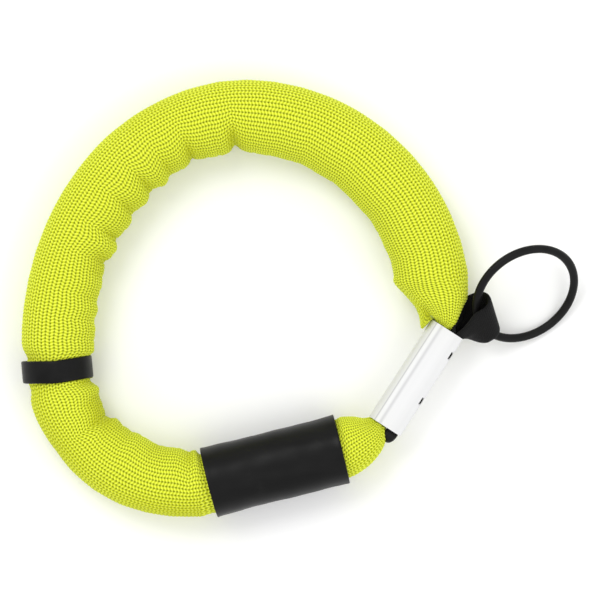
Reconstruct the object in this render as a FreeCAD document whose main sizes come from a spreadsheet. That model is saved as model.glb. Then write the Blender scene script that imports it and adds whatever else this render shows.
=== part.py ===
"""Floating wrist strap: a foam-filled knitted loop that closes in a folded metal clip.

The loop lies flat on its side with +Z up, its lowest point at Z = 0 and the middle of its
outline at the origin.  The clip also holds a folded woven tape, and the eye of that tape
carries a rubber ring.  All lengths are millimetres and all angles are degrees.
"""
import FreeCAD, Part
import math
import os
import Sketcher

Vector = FreeCAD.Vector
Placement = FreeCAD.Placement
Rotation = FreeCAD.Rotation

UP = Vector(0, 0, 1)
THROUGH = 60.0          # longer than any cut needs to be
WAIST_CUTTER = 12.0     # outer radius of the ring that presses a waist into the tube
WEB_OVERLAP = 1.2       # how far the tape's web starts from the middle of the eye

DIMENSIONS = {
    # padded tube
    "tube_radius": 9.5,
    "cover_wall": 0.9,
    "soft_gap": 0.1,
    "bore_radius": 1.5,
    "cord_radius": 1.2,
    # centreline of the tube, from the sleeve round to the upper neck
    "bend_radius": 14.0,
    "bend_turn": 9.1,
    "heel_radius": 33.9,
    "heel_turn": 92.6,
    "side_radius": 68.2,
    "side_turn": 44.0,
    "shoulder_radius": 42.2,
    "shoulder_turn": 56.8,
    "crown_radius": 49.5,
    "crown_turn": 73.0,
    # grip sleeve
    "sleeve_x": -6.5,
    "sleeve_y": -42.15,
    "sleeve_heading": 14.2,
    "sleeve_length": 35.3,
    "sleeve_radius": 9.0,
    "waist_radius": 8.15,
    "sleeve_bore": 8.25,
    "sleeve_edge": 0.2,
    # keeper band
    "band_turn": 87.5,
    "band_shift": 0.2,
    "band_radius": 9.1,
    "band_bore": 8.25,
    "band_width": 5.8,
    "band_tilt": 2.5,
    "band_edge": 0.35,
    # folded clip
    "clip_x": 29.75,
    "clip_y": -19.45,
    "clip_heading": 57.2,
    "clip_length": 29.7,
    "clip_width": 9.5,
    "clip_height": 6.2,
    "clip_wall": 0.6,
    "clip_fold": 3.05,
    "clip_corner": 0.7,
    "clip_seam": 0.3,
    "seam_height": 1.7,
    "seam_reach": 0.9,
    "slot_length": 2.1,
    "slot_depth": 0.65,
    "slot_reach": 2.2,
    "slot_upper": 9.5,
    "slot_lower": -4.35,
    # gathered ends of the knitted cover inside the clip
    "tail_radius": 2.4,
    "tail_length": 9.0,
    "tail_offset": 1.75,
    # woven tape
    "tape_pack_width": 3.4,
    "tape_pack_height": 4.8,
    "tape_offset": 2.4,
    "tape_stub": 3.3,
    "tape_end_round": 1.5,
    "tape_width": 10.0,
    "eye_radius": 2.3,
    "fold_radius": 3.2,
    "root_radius": 1.7,
    # rubber ring
    "ring_x": 57.95,
    "ring_y": 2.15,
    "ring_heading": 33.8,
    "ring_tilt": 41.0,
    "ring_radius": 13.7,
    "ring_section": 1.1,
}

# Necks of the cover, from the clip's mouth outwards: distance along the clip's axis, distance
# to the inner side of that axis, radius of the section, and turn of the section's direction.
UPPER_NECK = [
    (0.0, 1.75, 2.4, 0.0),
    (1.6, 4.9, 5.2, 14.0),
    (4.9, 8.0, 8.0, 32.0),
]
LOWER_NECK = [
    (0.0, 1.75, 2.4, 0.0),
    (4.6, 0.6, 5.2, 20.0),
    (8.6, 1.6, 7.2, 34.0),
]


# ---------------------------------------------------------------- document and sheet

doc = FreeCAD.newDocument("wrist_strap")
sheet = doc.addObject("Spreadsheet::Sheet", "sheet")
for row, (alias, number) in enumerate(DIMENSIONS.items(), start=1):
    sheet.set(f"A{row}", alias)
    sheet.set(f"B{row}", str(number))
    sheet.setAlias(f"B{row}", alias)
doc.recompute()


def size(alias):
    """The number in a cell of the sheet."""
    return float(sheet.get(alias))


# ---------------------------------------------------------------- plane geometry

def heading(degrees):
    """Unit vector in the XY plane."""
    return Vector(math.cos(math.radians(degrees)), math.sin(math.radians(degrees)), 0)


def left_of(direction):
    return Vector(-direction.y, direction.x, 0)


def axes_placement(origin, x_axis, z_axis):
    """Placement of a local frame from its X and Z directions."""
    y_axis = z_axis.cross(x_axis)
    matrix = FreeCAD.Matrix(
        x_axis.x, y_axis.x, z_axis.x, origin.x,
        x_axis.y, y_axis.y, z_axis.y, origin.y,
        x_axis.z, y_axis.z, z_axis.z, origin.z,
        0, 0, 0, 1)
    return Placement(matrix)


def arc_from_tangent(start, tangent, end):
    """The arc that leaves start along tangent and reaches end, with its end tangent."""
    chord = end - start
    side = left_of(chord).normalize()
    angle = math.atan2(tangent.dot(side), tangent.dot(chord) / chord.Length)
    middle = (start + end) * 0.5 + side * (0.5 * chord.Length * math.tan(angle / 2))
    end_tangent = Rotation(UP, math.degrees(-2 * angle)).multVec(tangent)
    return Part.Arc(start, middle, end).toShape(), end_tangent


def two_arcs(start, start_tangent, end, end_tangent):
    """Two tangent arcs that join a point and direction to another."""
    chord = end - start
    a = 2 * (1 - start_tangent.dot(end_tangent))
    b = 2 * chord.dot(start_tangent + end_tangent)
    c = -chord.dot(chord)
    reach = (-b + math.sqrt(b * b - 4 * a * c)) / (2 * a)
    joint = (start + start_tangent * reach + end - end_tangent * reach) * 0.5
    first, joint_tangent = arc_from_tangent(start, start_tangent, joint)
    second, _ = arc_from_tangent(joint, joint_tangent, end)
    return [first, second]


# ---------------------------------------------------------------- the loop's centreline

TUBE_LIFT = UP * size("tube_radius")
CLIP_AXIS = heading(size("clip_heading"))
CLIP_LEFT = left_of(CLIP_AXIS)
CLIP_CENTRE = Vector(size("clip_x"), size("clip_y"), 0) + TUBE_LIFT
SLEEVE_AXIS = heading(size("sleeve_heading"))
SLEEVE_CENTRE = Vector(size("sleeve_x"), size("sleeve_y"), 0) + TUBE_LIFT


def right_turn(point, direction, radius, degrees):
    """A clockwise arc, with the point and direction at its end."""
    centre = point - left_of(direction) * radius
    spin_half = Rotation(UP, -degrees / 2)
    spin = Rotation(UP, -degrees)
    middle = centre + spin_half.multVec(point - centre)
    end = centre + spin.multVec(point - centre)
    return Part.Arc(point, middle, end).toShape(), end, spin.multVec(direction)


def tube_path():
    """Edges of the padded part, clockwise from the sleeve's lower end to the upper neck."""
    half = SLEEVE_AXIS * (size("sleeve_length") / 2)
    point = SLEEVE_CENTRE - half
    direction = SLEEVE_AXIS * -1
    edges = [Part.makeLine(SLEEVE_CENTRE + half, point)]
    for part in ("bend", "heel", "side", "shoulder", "crown"):
        edge, point, direction = right_turn(
            point, direction, size(part + "_radius"), size(part + "_turn"))
        edges.append(edge)
    return edges, point, direction


def mouth(end):
    """Middle of the clip's upper (+1) or lower (-1) mouth."""
    return CLIP_CENTRE + CLIP_AXIS * (end * size("clip_length") / 2)


def cord_path(tube_edges, upper_point, upper_direction):
    """Edges of the load cord: from inside the clip round the loop and back into it."""
    shift = CLIP_LEFT * size("tail_offset")
    inside = CLIP_AXIS * size("tail_length")
    lower = mouth(-1) + shift
    upper = mouth(1) + shift
    sleeve_end = SLEEVE_CENTRE + SLEEVE_AXIS * (size("sleeve_length") / 2)
    lower_arcs = two_arcs(lower, CLIP_AXIS * -1, sleeve_end, SLEEVE_AXIS * -1)
    upper_arcs = two_arcs(upper_point, upper_direction, upper, CLIP_AXIS * -1)
    entry = Part.makeLine(lower + inside, lower)
    way_out = Part.makeLine(upper, upper - inside)
    return [entry] + lower_arcs + tube_edges + upper_arcs + [way_out]


def sweep(edges, radius):
    """Round bar along tangent edges."""
    path = Part.Wire(edges)
    start = edges[0].firstVertex().Point
    first = edges[0]
    direction = first.tangentAt(first.FirstParameter)
    disc = Part.Face(Part.Wire(Part.makeCircle(radius, start, direction)))
    return path.makePipe(disc)


# ---------------------------------------------------------------- soft pieces

def waist_cut(centre, axis, length, depth):
    """What a tight sleeve or band presses out of the tube, for a skin at this depth."""
    full = length + 2 * depth
    base = centre - axis * (full / 2)
    outer = Part.makeCylinder(WAIST_CUTTER, full, base, axis)
    inner = Part.makeCylinder(size("waist_radius") - depth, full, base, axis)
    return outer.cut(inner)


def band_station():
    """Centre and axis of the keeper band, which sits a little outwards and askew."""
    edges, _, _ = tube_path()
    heel = edges[2]
    length = math.radians(size("band_turn")) * size("heel_radius")
    parameter = heel.getParameterByLength(length)
    direction = heel.tangentAt(parameter)
    centre = heel.valueAt(parameter) + left_of(direction) * size("band_shift")
    return centre, Rotation(UP, -size("band_tilt")).multVec(direction)


def padded_tube(edges, depth):
    """The tube with its two waists, for a skin this far under the outside."""
    solid = sweep(edges, size("tube_radius") - depth)
    centre, axis = band_station()
    band = waist_cut(centre, axis, size("band_width") + 2 * size("soft_gap"), depth)
    sleeve = waist_cut(
        SLEEVE_CENTRE, SLEEVE_AXIS, size("sleeve_length") + 2 * size("soft_gap"), depth)
    return solid.cut(band).cut(sleeve)


def neck(end, stations, depth, last_circle):
    """Gathered neck from a mouth of the clip out to the tube."""
    circles = []
    for along, inward, radius, turn in stations:
        centre = mouth(end) + CLIP_AXIS * (end * along) + CLIP_LEFT * inward
        direction = Rotation(UP, end * turn).multVec(CLIP_AXIS)
        circles.append(Part.Wire(Part.makeCircle(radius - depth, centre, direction)))
    circles.append(Part.Wire(last_circle))
    return Part.makeLoft(circles, True, False)


def gathered_tail(end, depth):
    """End of the cover that is crimped inside the clip."""
    start = mouth(end) + CLIP_LEFT * size("tail_offset")
    return Part.makeCylinder(
        size("tail_radius") - depth, size("tail_length"), start, CLIP_AXIS * -end)


def cover_skin(depth):
    """The whole cover, tube, necks and tails, for a skin at this depth."""
    edges, upper_point, upper_direction = tube_path()
    sleeve_end = edges[0].firstVertex().Point
    tube_end = Part.makeCircle(size("tube_radius") - depth, upper_point, upper_direction)
    waist_end = Part.makeCircle(size("waist_radius") - depth, sleeve_end, SLEEVE_AXIS)
    pieces = [
        neck(1, UPPER_NECK, depth, tube_end),
        neck(-1, LOWER_NECK, depth, waist_end),
        gathered_tail(1, depth),
        gathered_tail(-1, depth),
    ]
    return padded_tube(edges, depth).multiFuse(pieces)


def tape_clearance():
    """Room that the tape's sealed end takes out of the lower neck."""
    width = size("tape_pack_width") + 2 * size("soft_gap")
    height = size("tape_pack_height") + 2 * size("soft_gap")
    stub = size("tape_stub") + size("soft_gap")
    room = Part.makeBox(width, height, stub)
    room.translate(Vector(size("tape_offset") - width / 2, -height / 2,
                          -size("clip_length") / 2 - stub))
    room.Placement = clip_placement().multiply(room.Placement)
    return room


def make_knit_cover():
    cover = doc.addObject("Part::Feature", "knit_cover")
    shell = cover_skin(0).cut(cover_skin(size("cover_wall"))).cut(tape_clearance())
    cover.Shape = shell.Solids[0]
    return cover


def make_foam_core():
    foam = doc.addObject("Part::Feature", "foam_core")
    edges, _, _ = tube_path()
    rod = padded_tube(edges, size("cover_wall") + size("soft_gap"))
    foam.Shape = rod.cut(sweep(edges, size("bore_radius"))).Solids[0]
    return foam


def make_core_cord():
    cord = doc.addObject("Part::Feature", "core_cord")
    cord.Shape = sweep(cord_path(*tube_path()), size("cord_radius"))
    return cord


# ---------------------------------------------------------------- features for hard pieces

def origin_plane(body, role):
    return next(item for item in body.Origin.OriginFeatures if item.Role == role)


def new_body(label, placement):
    body = doc.addObject("PartDesign::Body", label)
    body.Label = label
    body.Placement = placement
    return body


def new_sketch(body, name, role="XY_Plane", offset=None):
    sketch = body.newObject("Sketcher::SketchObject", name)
    sketch.AttachmentSupport = [(origin_plane(body, role), "")]
    sketch.MapMode = "FlatFace"
    if offset is not None:
        sketch.AttachmentOffset = offset
    return sketch


def bind(sketch, constraint, name, expression):
    """Name a dimension of a sketch and bind it to the sheet."""
    index = sketch.addConstraint(constraint)
    sketch.renameConstraint(index, name)
    sketch.setExpression("Constraints." + name, expression)


def draw_circle(sketch, alias):
    circle = sketch.addGeometry(Part.Circle(Vector(), UP, size(alias)), False)
    sketch.addConstraint(Sketcher.Constraint("Coincident", circle, 3, -1, 1))
    bind(sketch, Sketcher.Constraint("Radius", circle, size(alias)), "radius", "sheet." + alias)


def draw_box(sketch, left, right, bottom, top):
    """A rectangle whose four sides are held at expressions of the sheet."""
    values = {
        name: doc.sheet.evalExpression(text)
        for name, text in (("left", left), ("right", right), ("bottom", bottom), ("top", top))
    }
    corners = [
        Vector(values["left"], values["bottom"], 0),
        Vector(values["right"], values["bottom"], 0),
        Vector(values["right"], values["top"], 0),
        Vector(values["left"], values["top"], 0),
    ]
    for index in range(4):
        line = Part.LineSegment(corners[index], corners[(index + 1) % 4])
        sketch.addGeometry(line, False)
    for index in range(4):
        sketch.addConstraint(Sketcher.Constraint("Coincident", index, 2, (index + 1) % 4, 1))
    for index, kind in enumerate(("Horizontal", "Vertical", "Horizontal", "Vertical")):
        sketch.addConstraint(Sketcher.Constraint(kind, index))
    for kind, vertex, name, text in (
            ("DistanceX", 0, "left", left), ("DistanceY", 0, "bottom", bottom),
            ("DistanceX", 2, "right", right), ("DistanceY", 2, "top", top)):
        held = Sketcher.Constraint(kind, -1, 1, vertex, 1, values[name])
        bind(sketch, held, name, text)


def add_pad(body, sketch, name, length, both_ways=True):
    pad = body.newObject("PartDesign::Pad", name)
    pad.Profile = sketch
    pad.SideType = "Symmetric" if both_ways else "One side"
    pad.setExpression("Length", length)
    return pad


def make_turned_sleeve(label, placement, outer, bore, length, edge):
    """A short tube turned about its own Z axis, with softened outer edges."""
    body = new_body(label, placement)
    sketch = new_sketch(body, label + "_section", "XZ_Plane")
    draw_box(sketch, "sheet." + bore, "sheet." + outer,
             f"-sheet.{length} / 2", f"sheet.{length} / 2")
    turned = body.newObject("PartDesign::Revolution", label + "_wall")
    turned.Profile = sketch
    turned.ReferenceAxis = (sketch, ["V_Axis"])
    turned.Angle = 360
    doc.recompute()
    rims = [
        f"Edge{index}" for index, edge_shape in enumerate(turned.Shape.Edges, start=1)
        if edge_shape.Curve.TypeId == "Part::GeomCircle"
        and abs(edge_shape.Curve.Radius - size(outer)) < 1e-6
    ]
    softened = body.newObject("PartDesign::Fillet", label + "_edges")
    softened.Base = (turned, rims)
    softened.setExpression("Radius", "sheet." + edge)
    return body


def make_grip_sleeve():
    place = axes_placement(SLEEVE_CENTRE, UP, SLEEVE_AXIS)
    return make_turned_sleeve(
        "grip_sleeve", place, "sleeve_radius", "sleeve_bore", "sleeve_length", "sleeve_edge")


def make_keeper_band():
    centre, axis = band_station()
    place = axes_placement(centre, UP, axis)
    return make_turned_sleeve(
        "keeper_band", place, "band_radius", "band_bore", "band_width", "band_edge")


# ---------------------------------------------------------------- clip

def clip_placement():
    """Local X to the slotted side, local Y up, local Z along the clip."""
    return axes_placement(CLIP_CENTRE, CLIP_LEFT * -1, CLIP_AXIS)


def make_clip_shell():
    """One folded sheet: a full round on the inner side, a flat slotted wall on the outer."""
    body = new_body("clip_shell", clip_placement())
    outside = new_sketch(body, "clip_outside")
    draw_box(outside, "-sheet.clip_width / 2", "sheet.clip_width / 2",
             "-sheet.clip_height / 2", "sheet.clip_height / 2")
    block = add_pad(body, outside, "clip_block", "sheet.clip_length")
    doc.recompute()
    half = size("clip_width") / 2

    def long_edges(feature, side, inset=0.0):
        return [
            f"Edge{index}" for index, edge in enumerate(feature.Shape.Edges, start=1)
            if edge.Length > 0.9 * size("clip_length")
            and abs(edge.CenterOfMass.x - side * (half - inset)) < 1e-4
        ]

    fold = body.newObject("PartDesign::Fillet", "clip_fold")
    fold.Base = (block, long_edges(block, -1))
    fold.setExpression("Radius", "sheet.clip_fold")
    doc.recompute()
    corners = body.newObject("PartDesign::Fillet", "clip_corners")
    corners.Base = (fold, long_edges(fold, 1))
    corners.setExpression("Radius", "sheet.clip_corner")
    doc.recompute()

    mouths = [
        f"Face{index}" for index, face in enumerate(corners.Shape.Faces, start=1)
        if abs(abs(face.CenterOfMass.z) - size("clip_length") / 2) < 1e-6
    ]
    hollow = body.newObject("PartDesign::Thickness", "clip_hollow")
    hollow.Base = (corners, mouths)
    hollow.setExpression("Value", "sheet.clip_wall")
    hollow.Reversed = True
    hollow.Mode = 0
    hollow.Join = 0
    doc.recompute()

    for name, place in (("upper", "sheet.slot_upper"), ("lower", "sheet.slot_lower")):
        add_slot(body, name, place)
    add_seam(body)
    return body


def add_slot(body, name, place):
    """A slot through the outer top corner of the sheet, whose body has Y pointing down."""
    sketch = new_sketch(body, f"slot_{name}_outline", "XZ_Plane")
    draw_box(sketch, "sheet.clip_width / 2 - sheet.slot_depth", "sheet.clip_width",
             f"{place} - sheet.slot_length / 2", f"{place} + sheet.slot_length / 2")
    add_cut(body, sketch, f"slot_{name}", "-sheet.clip_height",
            "sheet.slot_reach - sheet.clip_height / 2")


def add_seam(body):
    """The gap where the folded sheet closes on itself, low on the flat wall."""
    sketch = new_sketch(body, "seam_outline", "XZ_Plane")
    draw_box(sketch, "sheet.clip_width / 2 - sheet.seam_reach", "sheet.clip_width",
             "-sheet.clip_length", "sheet.clip_length")
    add_cut(body, sketch, "seam", "sheet.seam_height - sheet.clip_seam", "sheet.seam_height")


def add_cut(body, sketch, name, low, high):
    """Pocket between two places along Y, from a sketch on the XZ plane, whose normal is -Y."""
    sketch.AttachmentOffset = Placement(Vector(0, 0, -doc.sheet.evalExpression(low)), Rotation())
    sketch.setExpression("AttachmentOffset.Base.z", f"-({low})")
    before = body.Shape.Volume
    pocket = body.newObject("PartDesign::Pocket", name)
    pocket.Profile = sketch
    pocket.setExpression("Length", f"({high}) - ({low})")
    doc.recompute()
    if body.Shape.Volume > before - 1e-3:
        raise RuntimeError(f"{name} cuts nothing")


# ---------------------------------------------------------------- tape and ring

def hinge_point():
    """Where the tape bends, just outside the clip's upper mouth."""
    reach = size("root_radius") + 2 * size("soft_gap")
    return mouth(1) + CLIP_AXIS * reach - CLIP_LEFT * size("tape_offset")


def make_tape_tail():
    """Both legs of the folded tape, packed side by side through the clip."""
    body = new_body("tape_tail", clip_placement())
    sketch = new_sketch(body, "tape_tail_outline", "XZ_Plane")
    draw_box(sketch, "sheet.tape_offset - sheet.tape_pack_width / 2",
             "sheet.tape_offset + sheet.tape_pack_width / 2",
             "-sheet.clip_length / 2 - sheet.tape_stub", "sheet.clip_length / 2")
    pad = add_pad(body, sketch, "tape_tail_block", "sheet.tape_pack_height")
    doc.recompute()
    end = -size("clip_length") / 2 - size("tape_stub")
    rims = [
        f"Edge{index}" for index, edge in enumerate(pad.Shape.Edges, start=1)
        if abs(edge.CenterOfMass.z - end) < 1e-6
        and abs(edge.Length - size("tape_pack_height")) < 1e-6
    ]
    sealed = body.newObject("PartDesign::Fillet", "tape_tail_sealed_end")
    sealed.Base = (pad, rims)
    sealed.setExpression("Radius", "sheet.tape_end_round")
    return body


def ring_axes():
    """Centre of the ring, direction from the eye to its far side, tangent at the eye."""
    outward = heading(size("ring_heading"))
    tilt = math.radians(size("ring_tilt"))
    tangent = left_of(outward) * math.cos(tilt) + UP * math.sin(tilt)
    height = size("ring_radius") * math.sin(tilt) + size("ring_section")
    centre = Vector(size("ring_x"), size("ring_y"), height)
    return centre, outward, tangent


def make_tape_eye():
    """The folded end of the tape: a gathered root, two legs drawn as one web, and the eye."""
    centre, outward, tangent = ring_axes()
    eye = centre - outward * size("ring_radius")
    root = hinge_point()
    leg = (root - eye).normalize()
    across = leg.cross(tangent).normalize()

    body = new_body("tape_eye", Placement())
    eye_place = axes_placement(eye, across, tangent)
    barrel_sketch = new_sketch(body, "eye_outline", offset=eye_place)
    draw_circle(barrel_sketch, "fold_radius")
    add_pad(body, barrel_sketch, "eye_fold", "sheet.tape_width")
    doc.recompute()

    root_sketch = new_sketch(body, "root_outline", offset=Placement(root, Rotation()))
    draw_circle(root_sketch, "root_radius")
    near = new_sketch(body, "web_near", offset=axes_placement(root, UP, leg))
    draw_box(near, "-sheet.tape_pack_height / 2", "sheet.tape_pack_height / 2",
             "-sheet.root_radius", "sheet.root_radius")
    flat = (tangent - leg * tangent.dot(leg)).normalize()
    far = new_sketch(body, "web_far", offset=axes_placement(eye + leg * WEB_OVERLAP, flat, leg))
    draw_box(far, "-sheet.tape_width / 2", "sheet.tape_width / 2",
             "-sheet.eye_radius", "sheet.eye_radius")
    web = body.newObject("PartDesign::AdditiveLoft", "web")
    web.Profile = far
    web.Sections = [near]
    web.Ruled = True
    doc.recompute()
    add_pad(body, root_sketch, "root", "sheet.tape_pack_height")
    doc.recompute()

    bore_sketch = new_sketch(body, "bore_outline", offset=eye_place)
    draw_circle(bore_sketch, "eye_radius")
    bore = body.newObject("PartDesign::Pocket", "eye_bore")
    bore.Profile = bore_sketch
    bore.SideType = "Symmetric"
    bore.Length = THROUGH
    doc.recompute()
    return body


def make_o_ring():
    centre, outward, tangent = ring_axes()
    ring = doc.addObject("Part::Torus", "o_ring")
    ring.setExpression("Radius1", "sheet.ring_radius")
    ring.setExpression("Radius2", "sheet.ring_section")
    ring.Placement = axes_placement(centre, outward, outward.cross(tangent))
    return ring


# ---------------------------------------------------------------- build, check, export

def check(piece):
    """Stop if a piece or any of its features failed or is not one valid solid."""
    if piece.Shape.isNull() or not piece.Shape.isValid():
        raise RuntimeError(f"{piece.Label}: shape is null or invalid")
    if len(piece.Shape.Solids) != 1:
        raise RuntimeError(f"{piece.Label}: {len(piece.Shape.Solids)} solids, not one")


MAKERS = [
    make_knit_cover,
    make_foam_core,
    make_core_cord,
    make_grip_sleeve,
    make_keeper_band,
    make_clip_shell,
    make_tape_tail,
    make_tape_eye,
    make_o_ring,
]

pieces = [maker() for maker in MAKERS]
doc.recompute()
for item in doc.Objects:
    if "Invalid" in item.State or "Error" in item.State:
        raise RuntimeError(f"{item.Name} failed: {item.State}")

os.makedirs("parts", exist_ok=True)
for piece in pieces:
    check(piece)
    piece.Shape.exportStep(f"parts/{piece.Label}.step")
    box = piece.Shape.BoundBox
    print(f"{piece.Label:12s} {piece.Shape.Volume:9.1f} mm3  "
          f"x {box.XMin:7.2f} {box.XMax:7.2f}  y {box.YMin:7.2f} {box.YMax:7.2f}  "
          f"z {box.ZMin:6.2f} {box.ZMax:6.2f}")
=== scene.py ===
"""Looks of the floating wrist strap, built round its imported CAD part.

The knitted cover is one grid of points laid round the loop's centreline, so its stitches, its
pleats and its gathered ends are all real geometry.  Lengths are millimetres until a mesh is made.
"""

import math

import bpy
import numpy as np
from mathutils import Matrix, Vector


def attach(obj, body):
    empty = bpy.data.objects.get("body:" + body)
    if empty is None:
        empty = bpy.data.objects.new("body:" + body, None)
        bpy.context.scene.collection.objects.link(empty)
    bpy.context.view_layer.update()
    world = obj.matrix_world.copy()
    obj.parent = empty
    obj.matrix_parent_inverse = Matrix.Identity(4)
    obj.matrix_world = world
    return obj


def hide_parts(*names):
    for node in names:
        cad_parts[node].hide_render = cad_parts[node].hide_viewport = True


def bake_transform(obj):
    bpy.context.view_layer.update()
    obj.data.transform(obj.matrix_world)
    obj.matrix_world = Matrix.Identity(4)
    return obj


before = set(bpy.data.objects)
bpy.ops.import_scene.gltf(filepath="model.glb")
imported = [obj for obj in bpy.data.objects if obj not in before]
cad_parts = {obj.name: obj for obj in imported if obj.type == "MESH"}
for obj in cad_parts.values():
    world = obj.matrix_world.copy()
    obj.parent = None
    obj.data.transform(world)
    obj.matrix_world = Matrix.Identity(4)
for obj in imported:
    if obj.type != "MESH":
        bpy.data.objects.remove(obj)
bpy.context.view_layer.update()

MM = 0.001
UP = np.array([0.0, 0.0, 1.0])
TAU = 2 * math.pi


# ---------------------------------------------------------------- the CAD part's own numbers

TUBE_RADIUS = 9.5
LIFT = TUBE_RADIUS      # height of the loop's middle plane above the table
# The arcs of the centreline from the sleeve to the upper neck.  A separate program fitted them.
ARCS = [(14.0, 9.1), (33.9, 92.6), (68.2, 44.0), (42.2, 56.8), (49.5, 73.0)]    # radius, turn
SLEEVE_CENTRE = np.array([-6.5, -42.15, LIFT])
SLEEVE_HEADING = 14.2
SLEEVE_LENGTH = 35.3
SLEEVE_RADIUS = 9.0
BORE = 8.3              # of the sleeve and the band, 0.05 wider than in the CAD part
BAND_ALONG = 53.99      # from the sleeve's lower end to the middle of the band
BAND_SHIFT = 0.2
BAND_RADIUS = 9.1
BAND_WIDTH = 5.8
BAND_TILT = 2.5
CLIP_CENTRE = np.array([29.75, -19.45, LIFT])
CLIP_HEADING = 57.2
CLIP_LENGTH = 29.7
RING_CENTRE = np.array([57.95, 2.15, 10.088])
RING_HEADING = 33.8
RING_TILT = 41.0
RING_RADIUS = 13.7
RING_SECTION = 1.1


def heading(degrees):
    turn = np.radians(degrees)
    return np.array([math.cos(turn), math.sin(turn), 0.0])


def left_of(direction):
    return np.array([-direction[1], direction[0], 0.0])


def unit(vector):
    return vector / np.linalg.norm(vector, axis=-1, keepdims=True)


def smooth(low, high, x):
    """0 below low, 1 above high, and an even rise between."""
    t = np.clip((x - low) / (high - low), 0, 1)
    return t * t * (3 - 2 * t)


CLIP_AXIS = heading(CLIP_HEADING)
CLIP_LEFT = left_of(CLIP_AXIS)
SLEEVE_AXIS = heading(SLEEVE_HEADING)


def in_clip(along, left, up):
    """Points given from the middle of the clip."""
    return (CLIP_CENTRE + np.multiply.outer(along, CLIP_AXIS)
            + np.multiply.outer(left, CLIP_LEFT) + np.multiply.outer(up, UP))


# ---------------------------------------------------------------- meshes

def new_piece(name, vertices, faces, material, body="loop"):
    mesh = bpy.data.meshes.new(name)
    mesh.from_pydata((vertices * MM).tolist(), [], faces)
    mesh.update()
    mesh.shade_smooth()
    piece = bpy.data.objects.new(name, mesh)
    bpy.context.scene.collection.objects.link(piece)
    mesh.materials.append(material)
    if body:
        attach(piece, body)
    return piece


def grid_faces(rows, columns, first=0, flip=False):
    """Quads between rows of a grid whose columns close on themselves."""
    row, column = np.meshgrid(np.arange(rows - 1), np.arange(columns), indexing="ij")
    beside = (column + 1) % columns
    quads = np.stack([row * columns + column, row * columns + beside,
                      (row + 1) * columns + beside, (row + 1) * columns + column], axis=-1)
    quads = quads.reshape(-1, 4) + first
    return (quads[:, ::-1] if flip else quads).tolist()


def rim_faces(outer_first, outer_count, inner_first, inner_count, flip):
    """Ring of faces between an outer and a coarser inner loop."""
    step = outer_count // inner_count
    faces = []
    for k in range(inner_count):
        outer = [outer_first + (k * step + j) % outer_count for j in range(step + 1)]
        face = outer + [inner_first + (k + 1) % inner_count, inner_first + k]
        faces.append(face[::-1] if flip else face)
    return faces


def walled_tube(outer, inner):
    """Vertices and faces of a closed tube wall from an outer and an inner grid."""
    rows, columns = outer.shape[:2]
    inner_rows, inner_columns = inner.shape[:2]
    vertices = np.concatenate([outer.reshape(-1, 3), inner.reshape(-1, 3)])
    base = rows * columns
    last_outer = (rows - 1) * columns
    last_inner = base + (inner_rows - 1) * inner_columns
    faces = grid_faces(rows, columns)
    faces += grid_faces(inner_rows, inner_columns, base, flip=True)
    faces += rim_faces(0, columns, base, inner_columns, flip=True)
    faces += rim_faces(last_outer, columns, last_inner, inner_columns, flip=False)
    return vertices, faces


def grid_normals(points):
    """Outward normals of a grid that closes round its columns."""
    along = np.gradient(points, axis=0)
    around = np.roll(points, -1, axis=1) - np.roll(points, 1, axis=1)
    return unit(np.cross(around, along))


# ---------------------------------------------------------------- the padded tube's grid

WALES = 27              # columns of stitches round the tube
WALE_STEPS = 6
COLUMNS = WALES * WALE_STEPS
COURSE = 0.82           # length of one course of stitches
COURSE_STEPS = 4
ROW = COURSE / COURSE_STEPS
ZIGZAG = 0.5            # how far a yarn climbs across half a wale, in courses
STITCH_RELIEF = 0.46    # depth of the holes between the stitches
HIDDEN_RELIEF = 0.3     # the same under the sleeve
HIDDEN_ROW = 1.1        # spacing of the rows under the sleeve
FINE_STEPS = 24         # points between two control loops, before they are spaced evenly
INNER_ROWS = 6          # how much coarser the lining's grid is
INNER_COLUMNS = 6
COVER_WALL = 0.8
MOUTH_DEPTH = 4.3       # how far the gathered ends run into the clip
NECK_LEAD = 3.0         # length of tube that takes part in the curve of the upper neck
WAIST = 8.1             # radius of the cover under the sleeve
SLEEVE_MOUTH = 7.8      # and where the lower neck enters the sleeve
SLEEVE_WAIST = 8.12     # and where the tube leaves it
SLEEVE_EASE = 3.2       # how far from the sleeve the tube has its full radius again
BAND_WAIST = 8.15       # radius of the cover under the band
BAND_EASE = 2.1         # how far beside the band the tube stays pressed in
MAX_PLEAT = 1.3
ROW_WAVE = 1.5          # how far the rows of stitches sway beside each swelling
SWELL_REACH = 80        # how far round from the inner edge the swelling fades, in degrees
INNER_SIDE_SHADE = 0.12         # how much painted shade darkens the inner side of the loop
TABLE_GAP = 0.02        # least height of the cover's fabric above the table
COVER_CUT = 131.0       # where the cover is divided, beside the cut under the band
ANGLES = TAU * np.arange(COLUMNS) / COLUMNS     # 0 is the outer side of the loop, pi the inner


def arc_stations():
    """Start, heading, radius and length of each arc from the sleeve to the upper neck."""
    point = SLEEVE_CENTRE - SLEEVE_AXIS * (SLEEVE_LENGTH / 2)
    turn = math.radians(SLEEVE_HEADING + 180)
    stations = []
    for radius, degrees in ARCS:
        length = radius * math.radians(degrees)
        stations.append((point, turn, radius, length))
        end = turn - length / radius
        point = point + radius * np.array(
            [math.sin(turn) - math.sin(end), math.cos(end) - math.cos(turn), 0.0])
        turn = end
    return stations


STATIONS = arc_stations()
TUBE_LENGTH = sum(station[3] for station in STATIONS)


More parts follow.
